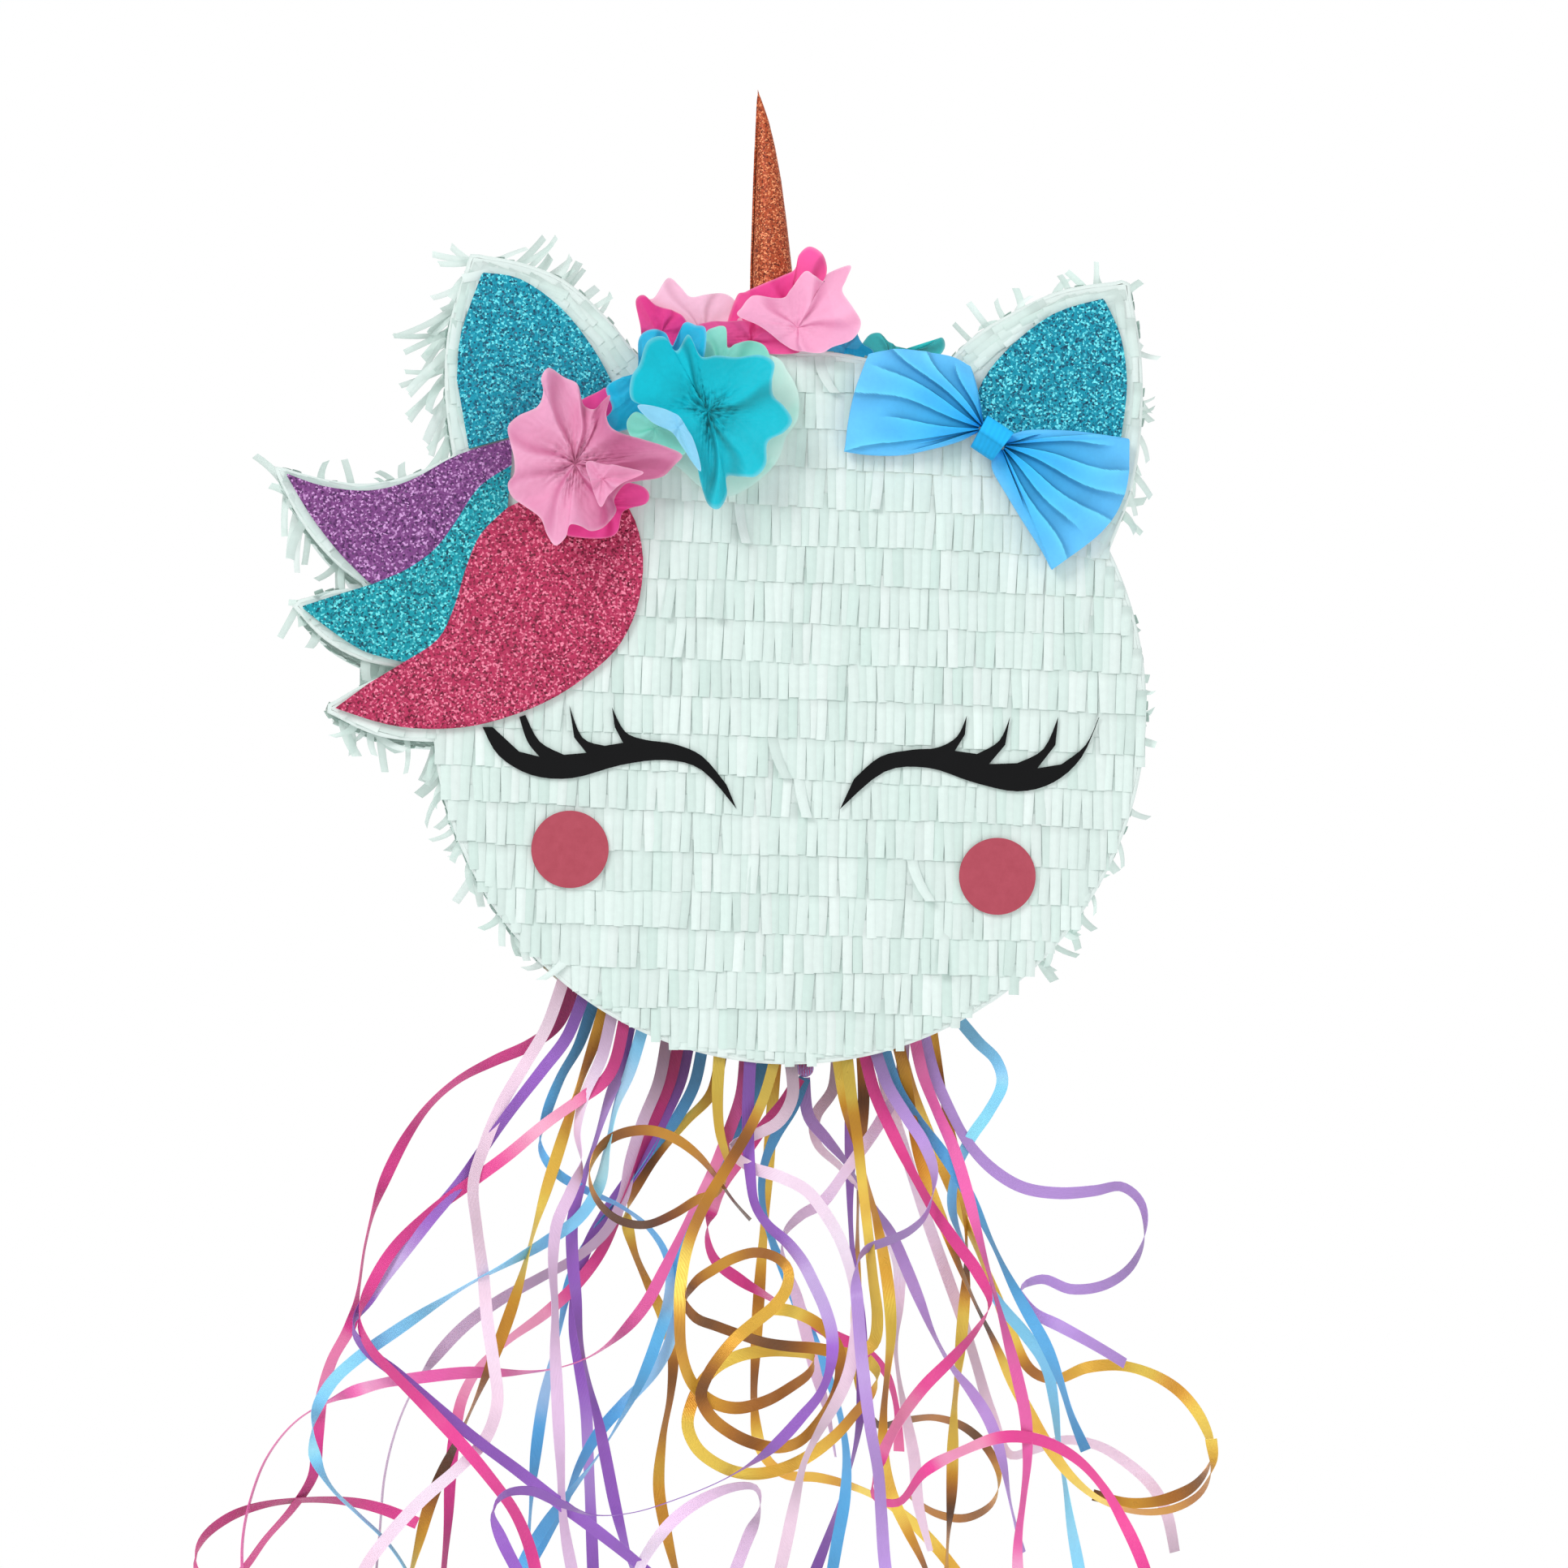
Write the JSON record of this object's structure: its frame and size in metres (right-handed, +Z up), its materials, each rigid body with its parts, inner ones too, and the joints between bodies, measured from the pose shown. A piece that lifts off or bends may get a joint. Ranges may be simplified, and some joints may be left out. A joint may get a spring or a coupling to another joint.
{
  "type": "pull-ribbon pinata",
  "caption": "Drum-shaped cardboard party pinata in the outline of a unicorn's head, with tissue fringe, glitter-foam mane, tissue flowers, a bow and curling pull ribbons.",
  "frame": {"origin": "the hang point: centre of the eyelet's bore at the top of the crown, mid-depth", "axes": "+Z up along the hanging cord, +Y from the face to the back, +X to the viewer's right when facing the face"},
  "size_m": [0.5179, 0.1357, 0.7693],
  "materials": {
    "cardboard": "matt kraft",
    "tissue_white": "matt fringed tissue",
    "foam_teal": "glitter foam",
    "foam_purple": "glitter foam",
    "foam_aqua": "glitter foam",
    "foam_pink": "glitter foam",
    "foam_copper": "glitter foam",
    "tissue_pink": "translucent tissue",
    "tissue_hot_pink": "translucent tissue",
    "tissue_aqua": "translucent tissue",
    "tissue_mint": "translucent tissue",
    "tissue_teal": "translucent tissue",
    "crepe_blue": "crepe paper",
    "vinyl_black": "gloss",
    "cheek_rose": "fine glitter card",
    "eyelet_brass": "polished",
    "paper_tape": "matt",
    "ribbon_gold": "metallic satin",
    "ribbon_magenta": "satin",
    "ribbon_pink": "satin",
    "ribbon_purple": "satin",
    "ribbon_lilac": "satin",
    "ribbon_mauve": "satin",
    "ribbon_pale": "iridescent",
    "ribbon_blue": "satin",
    "ribbon_light_blue": "satin"
  },
  "bodies": {
    "root": {"front_panel": "cardboard", "back_panel": "cardboard", "crown_band": "cardboard", "left_ear_band": "cardboard", "right_ear_band": "cardboard", "mane_band": "cardboard", "left_side_band": "cardboard", "right_side_band": "cardboard", "chin_band": "cardboard", "hang_plate": "cardboard", "hang_eyelet": "eyelet_brass", "front_ribbon_tape": "paper_tape", "back_ribbon_tape": "paper_tape", "face_fringe": "tissue_white", "back_fringe": "tissue_white", "rim_fringe": "tissue_white", "left_ear_foam": "foam_teal", "right_ear_foam": "foam_teal", "mane_purple_foam": "foam_purple", "mane_aqua_foam": "foam_aqua", "mane_pink_foam": "foam_pink", "horn": "foam_copper", "pink_flower_front": "tissue_pink", "pink_flower_back": "tissue_hot_pink", "aqua_flower_front": "tissue_aqua", "aqua_flower_back": "tissue_mint", "crown_flower_front": "tissue_pink", "crown_flower_back": "tissue_hot_pink", "small_aqua_flower": "tissue_teal", "bow_left_wing": "crepe_blue", "bow_right_wing": "crepe_blue", "bow_knot": "crepe_blue", "left_eyelash": "vinyl_black", "right_eyelash": "vinyl_black", "left_cheek": "cheek_rose", "right_cheek": "cheek_rose", "gold_ribbons_left": "ribbon_gold", "gold_ribbon_coil": "ribbon_gold", "gold_ribbons_middle": "ribbon_gold", "gold_ribbons_right": "ribbon_gold", "magenta_ribbons_left": "ribbon_magenta", "magenta_ribbon_right": "ribbon_magenta", "pink_ribbons": "ribbon_pink", "purple_ribbons_left": "ribbon_purple", "purple_ribbons_right": "ribbon_purple", "lilac_ribbons": "ribbon_lilac", "mauve_ribbons": "ribbon_mauve", "pale_ribbons": "ribbon_pale", "blue_ribbons_left": "ribbon_blue", "blue_ribbon_right": "ribbon_blue", "light_blue_ribbons": "ribbon_light_blue"},
    "door": {"trap_door": "cardboard"},
    "pull_ribbons": {"pull_knot": "ribbon_purple", "pull_ribbon_magenta": "ribbon_magenta", "pull_ribbon_blue": "ribbon_blue", "pull_ribbon_lilac": "ribbon_lilac"},
    "flap": {"fill_flap": "cardboard", "fill_flap_fringe": "tissue_white", "fill_flap_tape": "paper_tape"}
  },
  "joints": [
    {"name": "trap_door_hinge", "type": "hinge", "parent": "root", "child": "door", "pos_m": [-0.02, 0, -0.34885], "axis": [0, 1, 0], "range_deg": [0, 90]},
    {"name": "ribbon_swing", "type": "hinge", "parent": "door", "child": "pull_ribbons", "pos_m": [0.01, 0, -0.35461], "axis": [0, 1, 0], "range_deg": [-90, 0]},
    {"name": "fill_flap_hinge", "type": "hinge", "parent": "root", "child": "flap", "pos_m": [0, 0.0471, -0.15], "axis": [1, 0, 0], "range_deg": [0, 110]}
  ],
  "couplings": [
    {"joint": "ribbon_swing", "follows": "trap_door_hinge", "ratio": -1}
  ]
}
